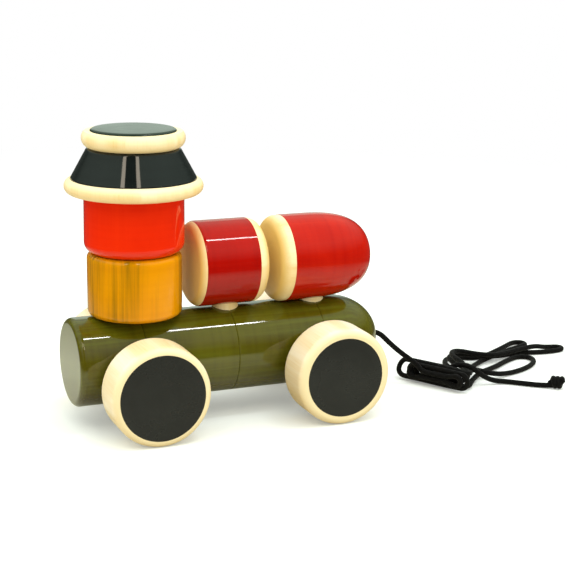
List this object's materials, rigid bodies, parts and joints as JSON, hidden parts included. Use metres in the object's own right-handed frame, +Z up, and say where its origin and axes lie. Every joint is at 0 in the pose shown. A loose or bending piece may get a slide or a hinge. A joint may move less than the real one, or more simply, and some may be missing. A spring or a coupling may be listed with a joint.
{
  "type": "pull-along wooden engine",
  "caption": "Take-apart wooden pull-along engine: round log on rolling wheelsets, cab stack and boiler barrels on pegs, limp pull cord in a hank.",
  "frame": {"origin": "on the floor, under the middle of the toy's box measured without its cord", "axes": "+X forward to the nose and the cord, +Y to the toy's left, +Z up"},
  "size_m": [0.3215, 0.1005, 0.1545],
  "materials": {
    "olive_lacquer": "gloss lacquer on turned wood",
    "ochre_lacquer": "gloss lacquer on turned wood, grain showing through",
    "orange_lacquer": "gloss lacquer on turned wood, grain showing through",
    "red_lacquer": "gloss lacquer on turned wood, ends bare",
    "black_lacquer": "gloss lacquer on turned wood, rims bare",
    "wheel_wood": "bare pale wood, outer face lacquered black",
    "bare_wood": "bare pale wood",
    "black_cord": "braided limp cord"
  },
  "bodies": {
    "chassis": {"body_log": "olive_lacquer", "cab_peg": "bare_wood", "cord_lead": "black_cord", "cord_hank": "black_cord", "cord_crossing": "black_cord", "cord_loop": "black_cord", "cord_long_bight": "black_cord", "cord_arch": "black_cord", "cord_tail": "black_cord", "cord_end_knot": "black_cord"},
    "rear_wheelset": {"rear_axle": "bare_wood", "rear_left_wheel": "wheel_wood", "rear_right_wheel": "wheel_wood"},
    "front_wheelset": {"front_axle": "bare_wood", "front_left_wheel": "wheel_wood", "front_right_wheel": "wheel_wood"},
    "cab_lower": {"cab_lower_block": "ochre_lacquer"},
    "cab_upper": {"cab_upper_block": "orange_lacquer"},
    "hat": {"cab_hat": "black_lacquer"},
    "cap": {"cab_cap": "black_lacquer"},
    "barrel_turn": {"barrel_peg": "bare_wood"},
    "barrel": {"boiler_barrel": "red_lacquer"},
    "nose_barrel_turn": {"nose_barrel_peg": "bare_wood"},
    "nose_barrel": {"boiler_nose_barrel": "red_lacquer"}
  },
  "joints": [
    {"name": "rear_wheels_roll", "type": "hinge", "parent": "chassis", "child": "rear_wheelset", "pos_m": [-0.0528, 0, 0.026], "axis": [0, 1, 0], "continuous": true},
    {"name": "front_wheels_roll", "type": "hinge", "parent": "chassis", "child": "front_wheelset", "pos_m": [0.0472, 0, 0.026], "axis": [0, 1, 0], "continuous": true},
    {"name": "cab_lower_lift", "type": "slide", "parent": "chassis", "child": "cab_lower", "axis": [0, 0, 1], "range_m": [0, 0.098]},
    {"name": "cab_upper_lift", "type": "slide", "parent": "cab_lower", "child": "cab_upper", "axis": [0, 0, 1], "range_m": [0, 0.065]},
    {"name": "hat_lift", "type": "slide", "parent": "cab_upper", "child": "hat", "axis": [0, 0, 1], "range_m": [0, 0.035]},
    {"name": "cap_lift", "type": "slide", "parent": "hat", "child": "cap", "axis": [0, 0, 1], "range_m": [0, 0.02]},
    {"name": "barrel_swivel", "type": "hinge", "parent": "chassis", "child": "barrel_turn", "pos_m": [-0.0016, 0, 0.0572], "axis": [0, 0, 1], "range_deg": [-10, 10]},
    {"name": "barrel_lift", "type": "slide", "parent": "barrel_turn", "child": "barrel", "axis": [0, 0, 1], "range_m": [0, 0.016]},
    {"name": "nose_barrel_swivel", "type": "hinge", "parent": "chassis", "child": "nose_barrel_turn", "pos_m": [0.0484, 0, 0.0572], "axis": [0, 0, 1], "range_deg": [-10, 10]},
    {"name": "nose_barrel_lift", "type": "slide", "parent": "nose_barrel_turn", "child": "nose_barrel", "axis": [0, 0, 1], "range_m": [0, 0.03]}
  ]
}
